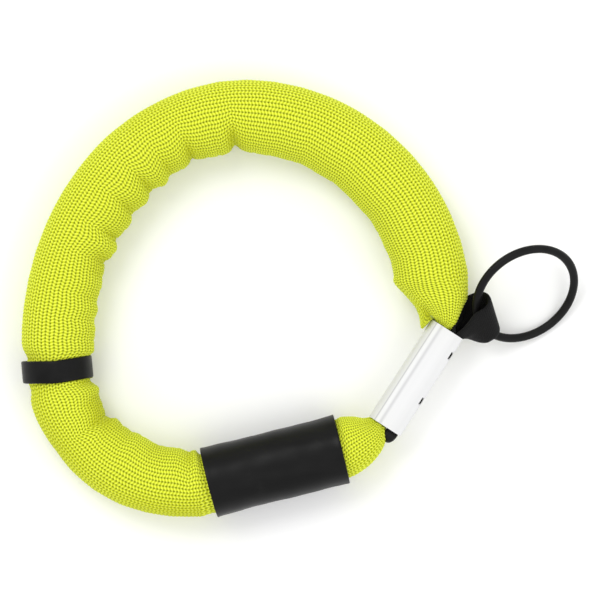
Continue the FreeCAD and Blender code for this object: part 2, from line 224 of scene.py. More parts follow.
def centreline(distance):
    """Point and direction at a distance from the sleeve's lower end; negative is in the sleeve."""
    if distance < 0:
        start = SLEEVE_CENTRE - SLEEVE_AXIS * (SLEEVE_LENGTH / 2)
        return start - SLEEVE_AXIS * distance, -SLEEVE_AXIS
    for point, turn, radius, length in STATIONS:
        if distance <= length or radius == STATIONS[-1][2]:
            break
        distance -= length
    end = turn - distance / radius
    reach = radius * np.array([math.sin(turn) - math.sin(end), math.cos(end) - math.cos(turn), 0])
    return point + reach, np.array([math.cos(end), math.sin(end), 0.0])


def tube_loop(distance, radius=TUBE_RADIUS, angles=ANGLES):
    """One round section of the tube."""
    point, direction = centreline(distance)
    return (point + np.multiply.outer(radius * np.cos(angles), left_of(direction))
            + np.multiply.outer(radius * np.sin(angles), UP))


# Control loops of the gathered necks, from inside the clip outwards.  Each has the outer edge,
# outer shoulder, top, inner shoulder and inner edge, as (along, left, up) from the clip's middle.
UPPER_NECK = [
    [(10.6, -0.6, 0), (10.6, 0.1, 1.7), (10.6, 1.75, 2.35), (10.6, 3.3, 1.7), (10.6, 4.0, 0)],
    [(14.2, -0.6, 0), (14.2, 0.1, 1.7), (14.2, 1.75, 2.40), (14.2, 3.3, 1.7), (14.2, 4.0, 0)],
    [(15.2, -1.0, 0), (15.1, -0.5, 2.2), (15.0, 1.75, 2.9), (15.0, 3.7, 2.3), (15.2, 4.5, 0)],
    [(16.8, -1.2, 0), (16.6, -0.9, 3.6), (16.0, 2.0, 4.9), (14.6, 4.9, 3.9), (12.6, 5.0, 0)],
    [(19.2, -0.9, 0), (19.0, -0.4, 4.8), (17.7, 3.4, 6.6), (15.0, 6.6, 4.9), (11.5, 5.7, 0)],
    [(22.0, -0.5, 0), (21.6, 0.4, 5.8), (19.2, 5.2, 8.0), (16.2, 8.9, 5.9), (13.7, 7.9, 0)],
    [(25.2, 0.1, 0), (24.4, 1.6, 6.4), (21.2, 7.6, 9.0), (17.4, 12.3, 6.6), (15.6, 11.0, 0)],
]
LOWER_NECK = [
    [(-10.6, -0.6, 0), (-10.6, 0.1, 1.7), (-10.6, 1.75, 2.35), (-10.6, 3.3, 1.7), (-10.6, 4.0, 0)],
    [(-14.3, -0.6, 0), (-14.3, 0.1, 1.7), (-14.3, 1.75, 2.4), (-14.3, 3.3, 1.7), (-14.3, 4.0, 0)],
    [(-15.4, -0.9, 0), (-15.3, -0.2, 2.3), (-15.2, 1.9, 3.0), (-15.1, 4.0, 2.3), (-15.0, 4.7, 0)],
    [(-17.6, -2.2, 0), (-17.4, -1.4, 3.7), (-16.9, 2.1, 4.8), (-16.2, 5.2, 3.6), (-16.0, 5.9, 0)],
    [(-20.6, -2.9, 0), (-20.0, -1.4, 4.9), (-18.8, 3.0, 6.7), (-17.3, 6.8, 4.9), (-16.9, 7.9, 0)],
    [(-24.6, -2.5, 0), (-23.6, -0.5, 5.6), (-21.2, 4.2, 7.9), (-18.6, 8.4, 5.7), (-17.9, 9.6, 0)],
    [(-28.6, -1.1, 0), (-27.2, 0.9, 5.9), (-23.7, 5.5, 8.2), (-20.0, 10.0, 5.9), (-19.1, 11.0, 0)],
]
NECK_ANGLES = np.arange(5) * math.pi / 4


def neck_loop(control):
    """A loop through five control points, the same above and below the loop's middle plane."""
    control = np.array(control, float)
    even = np.cos(np.outer(NECK_ANGLES, np.arange(5)))
    odd = np.sin(np.outer(NECK_ANGLES[1:4], np.arange(1, 4)))
    level = np.linalg.solve(even, control[:, :2])
    rise = np.linalg.solve(odd, control[1:4, 2])
    plan = np.cos(np.outer(ANGLES, np.arange(5))) @ level
    height = np.sin(np.outer(ANGLES, np.arange(1, 4))) @ rise
    return in_clip(plan[:, 0], plan[:, 1], height)


def through(loops, lead=0):
    """Rows at even spacing on smooth curves through loops, from the one after the lead."""
    loops = np.array(loops)
    slopes = np.gradient(loops, axis=0)
    fine = []
    for k in range(lead, len(loops) - 1):
        for t in np.linspace(0, 1, FINE_STEPS, endpoint=False):
            fine.append(loops[k] * (1 + 2 * t) * (1 - t) ** 2 + slopes[k] * t * (1 - t) ** 2
                        + loops[k + 1] * t * t * (3 - 2 * t) + slopes[k + 1] * t * t * (t - 1))
    fine = np.array(fine + [loops[-1]])
    steps = np.linalg.norm(np.diff(fine, axis=0), axis=2).mean(axis=1)
    reach = np.concatenate([[0], np.cumsum(steps)])
    wanted = np.arange(0, reach[-1], ROW)
    index = np.clip(np.searchsorted(reach, wanted, side="right") - 1, 0, len(fine) - 2)
    share = ((wanted - reach[index]) / (reach[index + 1] - reach[index]))[:, None, None]
    return fine[index] * (1 - share) + fine[index + 1] * share


def squeeze(distance, angles):
    """Radius of the tube where the sleeve and the band press it in."""
    radius = np.full(len(angles), TUBE_RADIUS)
    under_sleeve = smooth(SLEEVE_EASE, 0.3, distance)
    radius -= (TUBE_RADIUS - SLEEVE_WAIST) * under_sleeve
    away = abs(distance - BAND_ALONG) - BAND_WIDTH / 2
    under_band = np.exp(-(max(away, 0.0) / BAND_EASE) ** 2)
    outer_side = 0.5 + 0.5 * np.cos(angles)
    middle = BAND_SHIFT * np.cos(angles)
    pressed = BAND_WAIST + middle
    return radius + (pressed - radius) * under_band * (0.62 + 0.38 * outer_side if away > 0 else 1)


def cover_grid():
    """The bare grid from the clip's lower mouth to its upper one, and each row's distance."""
    lower = through([neck_loop(control) for control in LOWER_NECK]
                    + [tube_loop(-SLEEVE_LENGTH, SLEEVE_MOUTH), tube_loop(2 - SLEEVE_LENGTH, WAIST)])
    hidden_at = np.arange(2 - SLEEVE_LENGTH, -ROW, HIDDEN_ROW)
    hidden = [tube_loop(distance, WAIST) for distance in hidden_at]
    tube_at = np.arange(0, TUBE_LENGTH - NECK_LEAD, ROW)
    tube = [tube_loop(distance, squeeze(distance, ANGLES)) for distance in tube_at]
    start = tube_at[-1] + ROW
    upper = through([tube_loop(start - NECK_LEAD), tube_loop(start), tube_loop(TUBE_LENGTH)]
                    + [neck_loop(control) for control in UPPER_NECK[::-1]], lead=1)
    lower_at = hidden_at[0] - ROW * np.arange(len(lower), 0, -1)
    upper_at = start + ROW * np.arange(len(upper))
    grid = np.concatenate([lower, hidden, tube, upper])
    return grid, np.concatenate([lower_at, hidden_at, tube_at, upper_at])


# Pleats on the inner side of the loop: distance from the sleeve, depth, half width, how far round
# the tube they reach from its inner edge in degrees, and slant.  A separate program printed the
# distances, and the two edges below were set from offsets that such a program had measured.
PLEATS = [
    (3.0, 0.25, 0.7, 60, 0.5), (9.5, 0.14, 0.8, 50, -0.6), (15.8, 0.17, 0.8, 55, 0.8),
    (22.6, 0.19, 0.8, 60, -0.5), (26.4, 0.14, 0.7, 45, 0.4), (30.2, 0.22, 0.8, 65, 0.9),
    (35.2, 0.55, 1.0, 85, -0.8), (39.5, 0.25, 0.8, 60, 0.8), (43.9, 0.22, 0.7, 60, -0.4),
    (47.9, 0.19, 0.7, 55, 0.5), (60.0, 0.14, 0.7, 50, 0.6), (64.5, 0.19, 0.7, 60, -0.5),
    (68.5, 0.14, 0.7, 60, 0.4), (73.1, 0.22, 0.7, 65, 0.8), (77.1, 0.17, 0.6, 55, -0.7),
    (81.1, 0.19, 0.7, 60, 0.6), (85.6, 0.45, 0.8, 75, 0.9), (88.6, 0.17, 0.6, 55, -0.5),
    (92.6, 0.42, 0.8, 75, 0.7), (96.5, 0.19, 0.6, 60, -0.8), (101.4, 0.45, 0.8, 80, 0.8),
    (104.9, 0.19, 0.6, 55, -0.4), (109.8, 0.48, 0.8, 80, 0.9), (113.3, 0.19, 0.6, 60, -0.6),
    (118.3, 0.42, 0.8, 80, 0.7), (122.7, 0.19, 0.6, 65, -0.3), (127.3, 0.50, 0.8, 85, 0.5),
    (132.4, 0.19, 0.7, 65, -0.3), (136.3, 0.25, 0.6, 105, 0.0), (141.8, 0.65, 1.1, 85, -0.4),
    (147.6, 0.14, 0.6, 60, 0.3), (153.0, 0.11, 0.6, 55, -0.4), (160.0, 0.11, 0.6, 50, 0.3),
    (167.1, 0.08, 0.5, 50, -0.3), (174.9, 0.10, 0.5, 60, 0.3), (182.9, 0.08, 0.5, 55, -0.4),
    (189.8, 0.11, 0.6, 60, 0.2), (196.8, 0.11, 0.6, 60, -0.3),
]


# How far the inner edge of the cover stands from the plain tube: distance, offset.
INNER_EDGE = [
    (-9, 0), (0, -0.4), (3.1, -0.3), (5, -1.0), (9, 0.0), (13, -0.3), (17.5, -0.3), (23, 0.2),
    (26.5, -0.4), (31.3, -0.5), (33.7, -0.5), (36.6, -2.3), (40, -1.2), (42.5, -1.1), (45.9, -0.3),
    (49.5, -1.2), (54, -0.3), (56.5, -0.6), (59, 0.6), (62, 0.2), (64.5, 0.5), (67.5, 0.0),
    (71, 0.4), (74.5, -0.2), (78, 0.1), (81.5, -0.4), (85.2, -1.0), (90, 0.5), (93.2, -0.8),
    (97.5, 0.2), (99.5, 0.2), (102.7, -0.7), (106.8, 0.5), (111.4, -0.8), (115.2, 0.7),
    (119.5, -0.5), (123.6, 0.0), (127.6, -1.1), (132.8, -0.1), (136.8, 0.1), (139, -0.2),
    (141.5, -1.5), (146.5, -0.1), (151.5, 0.2), (154.5, 0.1), (159, 0.2), (163, -0.1), (170, 0.3),
    (176, 0.1), (183, 0.4), (188.5, 0.3), (191.5, 0.0), (196, 0.1), (201, 0.2), (207, -0.1),
    (212, 0.2), (400, 0),
]
# The same for the outer edge, where the fabric is drawn tight over thinner padding.
OUTER_EDGE = [
    (-9, 0), (0, 0), (3, -1.1), (9, -1.0), (15, -0.8), (22, -0.45), (29, -0.45), (37, -0.85),
    (45, -0.55), (50, -0.6), (54, 0), (57.5, -0.7), (61, -0.3), (73, -0.15), (81, 0.05), (97, 0.2),
    (109, 0.05), (117, -0.25), (125, -0.35), (133, -0.15), (141, 0.05), (165, 0.1), (203, 0.1),
    (209, 0.1), (216, -0.05), (226, 0), (400, 0),
]
# Creases where the cover is gathered into the clip: end of the clip, angle round the section,
# depth, half width in degrees and length from the mouth.
GATHERS = [
    (1, 142, 1.7, 9, 12.0), (1, 100, 0.30, 6, 6.5), (1, 78, 0.35, 7, 8.0), (1, 56, 0.28, 6, 6.0),
    (1, 33, 0.25, 6, 5.0), (1, 163, 0.5, 7, 7.0), (1, 118, 0.45, 7, 8.0), (1, 236, 0.9, 10, 9.0),
    (1, 262, 0.35, 7, 7.0), (1, 290, 0.30, 7, 8.0), (1, 318, 0.30, 7, 6.0), (1, 205, 0.40, 8, 6.0),
    (-1, 35, 0.25, 7, 6.0), (-1, 62, 0.35, 7, 8.0), (-1, 90, 0.28, 6, 7.0), (-1, 118, 0.45, 8, 9.0),
    (-1, 146, 0.35, 8, 7.0), (-1, 210, 0.35, 8, 7.0), (-1, 240, 0.40, 8, 9.0),
    (-1, 268, 0.30, 7, 7.0), (-1, 296, 0.35, 7, 8.0), (-1, 325, 0.25, 7, 6.0),
]


def edge_offset(table, at):
    """An edge's offset along the loop, rounded over each lobe and sharp in each notch."""
    place, offset = np.array(table).T
    index = np.clip(np.searchsorted(place, at, side="right") - 1, 0, len(place) - 2)
    share = np.clip((at - place[index]) / (place[index + 1] - place[index]), 0, 1)
    rising = offset[index + 1] > offset[index]
    eased = np.where(rising, np.sin(share * math.pi / 2), 1 - np.cos(share * math.pi / 2))
    return offset[index] + (offset[index + 1] - offset[index]) * (0.5 * eased + 0.5 * share)


def pleat_field(at, angles):
    """Depth of the pleats, and how far they push the stitches round the tube."""
    inner = np.degrees(np.abs(angles - math.pi))[None, :]
    outer = 180 - inner
    side = np.sign(math.pi - angles)[None, :]
    depth = np.zeros((len(at), len(angles)))
    push = np.zeros_like(depth)
    for place, deep, wide, reach, slant in PLEATS:
        bent = place + slant * (inner / 30.0) ** 1.3
        offset = (at[:, None] - bent) / (wide * (1 + inner / 120))
        fade = smooth(reach, 0.35 * reach, inner)
        depth += deep * fade * np.exp(-offset ** 2)
        swell = smooth(1.5 * reach, 0.5 * reach, inner) * smooth(0, 12, inner)
        push += side * deep * swell * (offset / 1.7) * np.exp(-(offset / 1.7) ** 2)
    lobes = edge_offset(INNER_EDGE, at)[:, None]
    push += side * ROW_WAVE * lobes * smooth(125, 50, inner) * smooth(0, 25, inner)
    swell = lobes * smooth(SWELL_REACH, 8, inner)
    swell = swell + edge_offset(OUTER_EDGE, at)[:, None] * smooth(95, 20, outer)
    return np.minimum(depth, MAX_PLEAT) - swell, push


def gather_field(at, angles):
    """Depth of the creases at the two mouths of the clip."""
    depth = np.zeros((len(at), len(angles)))
    turned_by = np.degrees(angles)[None, :]
    for end, angle, deep, wide, length in GATHERS:
        first = at[-1] if end > 0 else at[0]
        out = np.abs(at - first)[:, None] - MOUTH_DEPTH
        away = (turned_by - angle - 6 * np.sin(out / 4 + angle)) / (wide * (1 + out.clip(0) / 12))
        depth += deep * np.exp(-away ** 2) * smooth(length, 0, out) * smooth(-1.5, 0.8, out)
    return depth


def stitches(at):
    """Where each grid point lies in its stitch: across the wale, and in courses along it."""
    step = np.arange(COLUMNS) % WALE_STEPS
    across = np.abs(2 * step / WALE_STEPS - 1)
    rows = np.arange(len(at)) / COURSE_STEPS
    return np.broadcast_to(across, (len(at), COLUMNS)), np.broadcast_to(rows[:, None], (len(at), COLUMNS))


def stitch_height(across, course):
    """Height of the yarn from 0 in the holes to 1 on the loops."""
    ridge = 0.5 + 0.5 * np.cos(TAU * (course + ZIGZAG * across))
    edge = np.abs(2 * across - 1) ** 1.6
    return 1 - edge * (0.30 + 0.70 * (1 - ridge)) - 0.22 * (1 - ridge) * (1 - edge)


def knitted_skin():
    """The finished outer grid of the cover, its pleated base without stitches, and its data."""
    base, at = cover_grid()
    normals = grid_normals(base)
    pleats, push = pleat_field(at, ANGLES)
    depth = pleats + gather_field(at, ANGLES)
    tangent = unit(np.roll(base, -1, axis=1) - np.roll(base, 1, axis=1))
    rng = np.random.default_rng(7)
    waves = sum(
        rng.uniform(0.03, 0.08) * np.sin(at[:, None] * rng.uniform(0.15, 0.6)
                                         + rng.integers(1, 4) * ANGLES[None, :] + rng.uniform(0, TAU))
        for _ in range(7))
    base = base - normals * (depth + np.abs(waves) * 0.5)[..., None] + tangent * push[..., None] * 0.9
    base[..., 2] = base[..., 2].clip(TABLE_GAP)
    across, course = stitches(at)
    height = stitch_height(across, course)
    hidden = (at > 1.5 - SLEEVE_LENGTH) & (at < -0.5)
    relief = np.where(hidden, HIDDEN_RELIEF, STITCH_RELIEF)[:, None] * (1 - height)
    outer = base - grid_normals(base) * relief[..., None]
    # Painted shade: the last value darkens the creases by their depth and the loop's inner side.
    inner_side_shade = INNER_SIDE_SHADE * smooth(50, 150, np.degrees(np.pi - np.abs(ANGLES - np.pi)))
    return outer, base, at, across, course, depth.clip(0) + inner_side_shade[None, :]


def cover_piece(name, rows, skin, material):
    """One length of the knitted cover as a wall with real thickness."""
    outer, base, _, across, course, depth = skin
    inside = (base - grid_normals(base) * COVER_WALL)[rows][:, ::INNER_COLUMNS]
    lining = np.concatenate([inside[::INNER_ROWS], inside[-1:]])
    vertices, faces = walled_tube(outer[rows], lining)
    piece = new_piece(name, vertices, faces, material)
    mesh = piece.data
    count = outer[rows].shape[0] * COLUMNS
    data = np.zeros((len(vertices), 3))
    # The third value is the painted-shade mask of the creases and the inner side.
    data[:count] = np.stack([across[rows], course[rows], depth[rows]], axis=-1).reshape(-1, 3)
    mesh.attributes.new("stitch", "FLOAT_VECTOR", "POINT").data.foreach_set("vector", data.ravel())
    normals = np.array([vertex.normal for vertex in mesh.vertices], float).reshape(-1, 3)
    normals[:count] = grid_normals(outer)[rows].reshape(-1, 3)
    mesh.normals_split_custom_set_from_vertices(normals.tolist())
    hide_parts("knit_cover")
    return piece


# ---------------------------------------------------------------- materials

class Look:
    """A node material under construction."""

    def __init__(self, name, **fixed):
        self.material = bpy.data.materials.new(name)
        self.material.use_nodes = True
        self.nodes = self.material.node_tree.nodes
        self.links = self.material.node_tree.links
        self.shader = self.nodes["Principled BSDF"]
        for socket, value in fixed.items():
            self.shader.inputs[socket.replace("_", " ")].default_value = value

    def node(self, kind, inputs=(), output=0, **settings):
        made = self.nodes.new("ShaderNode" + kind)
        for key, value in settings.items():
            setattr(made, key, value)
        for key, value in (inputs.items() if isinstance(inputs, dict) else enumerate(inputs)):
            self.set(made.inputs[key], value)
        return made.outputs[output]

    def set(self, socket, value):
        if isinstance(value, bpy.types.NodeSocket):
            self.links.new(value, socket)
        else:
            socket.default_value = value

    def math(self, operation, *inputs):
        return self.node("Math", inputs, operation=operation)

    def place(self):
        return self.node("TexCoord", output="Object")

    def noise(self, scale, detail=2.0, vector=None, roughness=0.5):
        return self.node("TexNoise", {"Vector": vector or self.place(), "Scale": scale,
                                      "Detail": detail, "Roughness": roughness}, output="Fac")

    def stretched(self, rotation, scale):
        """Object coordinates turned and scaled, for a grain with a direction."""
        return self.node("Mapping", {"Vector": self.place(), "Rotation": rotation, "Scale": scale})

    def ramp(self, value, *stops):
        made = self.nodes.new("ShaderNodeValToRGB")
        self.links.new(value, made.inputs[0])
        elements = made.color_ramp.elements
        while len(elements) < len(stops):
            elements.new(0.5)
        for element, (position, colour) in zip(elements, stops):
            element.position = position
            element.color = (*colour, 1)
        return made.outputs[0]

    def range(self, value, low, high, start=0.0, end=1.0):
        return self.node("MapRange", {"Value": value, "From Min": start, "From Max": end,
                                      "To Min": low, "To Max": high})

    def mix(self, factor, first, second, blend="MIX"):
        made = self.nodes.new("ShaderNodeMix")
        made.data_type = "RGBA"
        made.blend_type = blend
        for key, value in (("Factor", factor), ("A", first), ("B", second)):
            socket = next(s for s in made.inputs if s.name == key and s.enabled)
            self.set(socket, (*value, 1) if isinstance(value, tuple) and len(value) == 3 else value)
        return next(s for s in made.outputs if s.enabled)

    def finish(self, colour=None, roughness=None, bump=None, depth=0.0001, strength=1.0):
        for name, value in (("Base Color", colour), ("Roughness", roughness)):
            if value is not None:
                self.links.new(value, self.shader.inputs[name])
        if bump is not None:
            normal = self.node("Bump", {"Height": bump, "Distance": depth, "Strength": strength},
                               output="Normal")
            self.links.new(normal, self.shader.inputs["Normal"])
        return self.material


def knit_look():
    """Bright knitted yarn with painted shade in its holes, dips, creases and inner side, and a soft fuzz.
    """
    look = Look("knit_yarn", Specular_IOR_Level=0.10, Sheen_Weight=0.38, Sheen_Roughness=0.3)
    look.shader.inputs["Sheen Tint"].default_value = (0.78, 1.0, 0.50, 1)
    parts = look.nodes.new("ShaderNodeSeparateXYZ")
    stitch = look.node("Attribute", output="Vector", attribute_name="stitch")
    look.links.new(stitch, parts.inputs[0])
    across, course, pleat = parts.outputs
    phase = look.math("ADD", course, look.math("MULTIPLY", across, ZIGZAG))
    wave = look.math("COSINE", look.math("MULTIPLY", phase, TAU))
    ridge = look.math("MULTIPLY_ADD", wave, 0.5, 0.5)
    edge = look.math("ABSOLUTE", look.math("MULTIPLY_ADD", across, 2.0, -1.0))
    row = look.math("POWER", edge, 1.7)
    hole = look.math("MULTIPLY", row, look.math("MULTIPLY_ADD", ridge, -0.62, 1.0))
    # Painted shade: the yarn's colour darkens where its ridge dips between the courses.
    yarn = look.ramp(ridge, (0.0, (0.54, 0.595, 0.008)), (0.45, (0.70, 0.775, 0.022)),
                     (1.0, (0.86, 0.94, 0.085)))
    fuzz = look.noise(3800, 3)
    cloudy = look.noise(60, 2)
    # Painted shade: the holes between the stitches are coloured dark olive.
    dark = look.mix(look.range(hole, 0.0, 0.97, 0.06, 0.82), yarn, (0.105, 0.125, 0.0))
    tint = look.mix(look.range(fuzz, 0.0, 0.25, 0.4, 0.8), dark, (0.90, 1.0, 0.16))
    shade = look.mix(look.range(cloudy, 0.0, 0.14), tint, (0.55, 0.62, 0.0))
    # Painted shade in the pleats, the gathers at the clip and on the loop's inner side.
    deep = look.mix(look.range(pleat, 0.0, 0.50, 0.1, 1.3), shade, (0.40, 0.41, 0.0))
    fibres = look.math("ADD", look.math("MULTIPLY", ridge, 0.5), look.math("MULTIPLY", fuzz, 0.8))
    return look.finish(deep, look.range(fuzz, 0.75, 0.95), fibres, 0.00012, 0.6)


def rubber_look(name, colour, grain_scale, low, high, rotation=(0, 0, 0), stretch=(1, 1, 1)):
    """Black rubber or shrunk plastic: fine grain, faint drawn streaks and a satin finish."""
    look = Look(name, Specular_IOR_Level=0.13)
    grain = look.noise(grain_scale, 4)
    streaks = look.noise(220, 3, look.stretched(rotation, stretch))
    scuffs = look.noise(90, 5, roughness=0.7)
    base = look.mix(look.range(streaks, 0.0, 1.0, 0.35, 0.7), colour,
                    tuple(1.7 * part for part in colour))
    worn = look.mix(look.range(scuffs, 0.0, 0.25, 0.58, 0.75), base, (0.024, 0.024, 0.023))
    rough = look.math("ADD", look.range(streaks, low, high, 0.3, 0.7),
                      look.range(scuffs, 0.0, 0.12, 0.4, 0.8))
    height = look.math("ADD", look.math("MULTIPLY", grain, 0.5), look.math("MULTIPLY", streaks, 0.6))
    return look.finish(worn, rough, height, 0.00006, 0.5)


# Painted shade lines along the clip where the sheet bends: distance to the left of its axis, half width
# and strength.
FOLD_SHADE_LINES = [(3.15, 0.16, 0.55), (1.6, 0.42, 0.35), (-3.4, 1.2, 0.10)]


def clip_look():
    """Satin aluminium, faintly drawn along the clip, with painted shade lines where the sheet folds."""
    turn = -math.radians(CLIP_HEADING)
    look = Look("clip_aluminium", Metallic=0.6)
    local = look.node("VectorRotate", {"Vector": look.place(), "Center": tuple(CLIP_CENTRE * MM),
                                       "Angle": turn}, rotation_type="Z_AXIS")
    parts = look.nodes.new("ShaderNodeSeparateXYZ")
    centred = look.node("VectorMath", (local, tuple(CLIP_CENTRE * MM)), operation="SUBTRACT")
    look.links.new(centred, parts.inputs[0])
    left = look.math("MULTIPLY", parts.outputs["Y"], 1 / MM)
    drawn = look.node("Mapping", {"Vector": local, "Scale": (0.03, 1, 1)})
    brushed = look.noise(900, 3, drawn)
    blasted = look.noise(5200, 2)
    soft = look.noise(140, 3)
    colour = look.mix(look.range(brushed, 0.0, 1.0, 0.3, 0.7), (0.74, 0.742, 0.746),
                      (0.78, 0.781, 0.784))
    for middle, width, tone in FOLD_SHADE_LINES:
        away = look.math("DIVIDE", look.math("SUBTRACT", left, middle), width)
        line = look.math("EXPONENT", look.math("MULTIPLY", look.math("MULTIPLY", away, away), -1.0))
        # Each line paints shade into the colour.
        colour = look.mix(look.math("MULTIPLY", line, tone), colour, (0.36, 0.36, 0.37))
    worn = look.mix(look.range(soft, 0.0, 0.3, 0.55, 0.8), colour, (0.68, 0.68, 0.69))
    rough = look.math("ADD", look.range(brushed, 0.55, 0.66, 0.3, 0.7),
                      look.range(soft, 0.0, 0.08))
    height = look.math("ADD", look.math("MULTIPLY", brushed, 0.3), look.math("MULTIPLY", blasted, 0.4))
    return look.finish(worn, rough, height, 0.00001, 0.3)


WARP_PITCH = 0.55       # weave of the tape
WEFT_PITCH = 0.45


def tape_look(name="woven_tape"):
    """Black woven tape: a fine plain weave that follows the tape, from its own coordinates."""
    look = Look(name, Specular_IOR_Level=0.15, Sheen_Weight=0.04, Sheen_Roughness=0.4)
    parts = look.nodes.new("ShaderNodeSeparateXYZ")
    stitch = look.node("Attribute", output="Vector", attribute_name="stitch")
    look.links.new(stitch, parts.inputs[0])
    across, along, sealed = parts.outputs
    warp = look.math("SINE", look.math("MULTIPLY", across, TAU / WARP_PITCH))
    weft = look.math("SINE", look.math("MULTIPLY", along, TAU / WEFT_PITCH))
    weave = look.math("MULTIPLY_ADD", look.math("MULTIPLY", warp, weft), 0.35,
                      look.math("MULTIPLY_ADD", weft, 0.25, 0.5))
    fuzz = look.noise(4200, 3)
    colour = look.ramp(weave, (0.0, (0.002, 0.002, 0.002)), (0.6, (0.006, 0.006, 0.006)),
                       (1.0, (0.014, 0.014, 0.014)))
    linted = look.mix(look.range(fuzz, 0.0, 0.4, 0.5, 0.8), colour, (0.02, 0.02, 0.019))
    melted = look.mix(sealed, linted, (0.008, 0.008, 0.008))
    rough = look.math("MULTIPLY_ADD", sealed, -0.55, look.range(fuzz, 0.78, 0.95))
    height = look.math("MULTIPLY", look.math("ADD", weave, look.math("MULTIPLY", fuzz, 0.4)),
                       look.math("SUBTRACT", 1.0, sealed))
    return look.finish(melted, rough, height, 0.00012, 0.8)


def foam_look():
    """Closed-cell foam: small cells in a pale grey body."""
    look = Look("closed_cell_foam", Specular_IOR_Level=0.2)
    cells = look.node("TexVoronoi", {"Vector": look.place(), "Scale": 1400.0}, output="Distance")
    cloudy = look.noise(120, 3)
    colour = look.mix(look.range(cells, 0.0, 0.5, 0.0, 0.6), (0.55, 0.55, 0.54), (0.30, 0.30, 0.30))
    shade = look.mix(look.range(cloudy, 0.0, 0.3), colour, (0.45, 0.44, 0.42))
    return look.finish(shade, look.range(cells, 0.7, 0.95), cells, 0.0002, 0.5)


def cord_look():
    """Braided black load cord."""
    look = Look("braided_cord", Specular_IOR_Level=0.3)
    strands = look.node("TexWave", {"Vector": look.place(), "Scale": 900.0, "Distortion": 3.0,
                                    "Detail": 2.0}, output="Fac", bands_direction="DIAGONAL")
    fuzz = look.noise(5000, 2)
    colour = look.mix(look.range(strands, 0.0, 1.0), (0.010, 0.010, 0.010), (0.04, 0.04, 0.04))
    linted = look.mix(look.range(fuzz, 0.0, 0.3, 0.5, 0.8), colour, (0.06, 0.06, 0.06))
    return look.finish(linted, look.range(fuzz, 0.6, 0.9), strands, 0.0002, 0.7)


# ---------------------------------------------------------------- sleeve, band and ring

TURNED_COLUMNS = 144
SLEEVE_SPREAD = 0.22    # how much wider the sleeve is at its lower end
BAND_BEND = 0.07        # how far the band bows, for each millimetre to its side
RING_STEPS = 256
RING_SECTION_STEPS = 40


def turned(centre, axis, profile, columns, shape):
    """Closed grid of a section turned about an axis; shape moves each point (radius, along)."""
    side = left_of(axis)
    angles = TAU * np.arange(columns) / columns
    radius, along = (np.array(values)[:, None] for values in zip(*profile))
    radius, along = shape(radius, along, angles[None, :])
    return (centre + (radius * np.cos(angles))[..., None] * side
            + (radius * np.sin(angles))[..., None] * UP + along[..., None] * axis)


def turned_piece(name, points, material, body="loop"):
    """A piece whose grid closes both ways."""
    rows, columns = points.shape[:2]
    faces = [[corner % (rows * columns) for corner in face] for face in grid_faces(rows + 1, columns)]
    return new_piece(name, points.reshape(-1, 3), faces, material, body)


def wall_profile(radius, bore, length, edge, steps):
    """Section of a short tube, outside first, with softened outer edges."""
    half = length / 2
    corner = [(radius - edge * (1 - math.cos(t)), half - edge * (1 - math.sin(t)))
              for t in np.linspace(0, math.pi / 2, 4)]
    outside = [(radius, along) for along in np.linspace(-half + edge, half - edge, steps)]
    inside = [(bore, along) for along in np.linspace(half - edge / 3, -half + edge / 3, steps // 2)]
    lower = [(r, -along) for r, along in corner[::-1]]
    return lower + outside[1:-1] + corner + inside


def make_sleeve(look):
    """The long sleeve: a little uneven, with plain cut ends."""
    def shape(radius, along, angles):
        uneven = (0.07 * np.sin(2 * angles + 0.09 * along) + 0.05 * np.sin(3 * angles - 0.21 * along)
                  + 0.05 * np.sin(0.35 * along + 0.7) + 0.03 * np.sin(0.9 * along + 2 * angles))
        flare = 0.10 * np.exp(-((SLEEVE_LENGTH / 2 - np.abs(along)) / 0.8) ** 2)
        wider = np.where(radius > BORE, SLEEVE_SPREAD * smooth(0, SLEEVE_LENGTH / 2, -along), 0)
        cut = 0.12 * np.sin(angles + 0.6) * np.sign(along) * (np.abs(along) > SLEEVE_LENGTH / 2 - 1)
        return radius + uneven + flare + wider - 0.05, along + cut

    profile = wall_profile(SLEEVE_RADIUS, BORE, SLEEVE_LENGTH, 0.22, 60)
    points = turned(SLEEVE_CENTRE, SLEEVE_AXIS, profile, TURNED_COLUMNS, shape)
    piece = turned_piece("grip_sleeve_shrunk", points, look)
    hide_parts("grip_sleeve")


def make_band(look):
    """The narrow band, which leans and bends a little where the fabric pushes it."""
    def shape(radius, along, angles):
        sideways = radius * np.cos(angles)
        bend = BAND_BEND * (np.abs(sideways) - BAND_RADIUS / 2)
        uneven = 0.05 * np.sin(2 * angles + 0.5) + 0.03 * np.sin(5 * angles)
        return radius + uneven * np.cos(along / 3), along + bend

    point, direction = centreline(BAND_ALONG)
    axis = unit(np.array(Matrix.Rotation(-math.radians(BAND_TILT), 3, "Z") @ Vector(direction)))
    centre = point + left_of(direction) * BAND_SHIFT
    profile = wall_profile(BAND_RADIUS, BORE, BAND_WIDTH, 0.45, 16)
    points = turned(centre, axis, profile, TURNED_COLUMNS, shape)
    piece = turned_piece("keeper_band_moulded", points, look)
    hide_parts("keeper_band")


def ring_axes():
    outward = heading(RING_HEADING)
    tilt = math.radians(RING_TILT)
    tangent = left_of(outward) * math.cos(tilt) + UP * math.sin(tilt)
    return outward, tangent


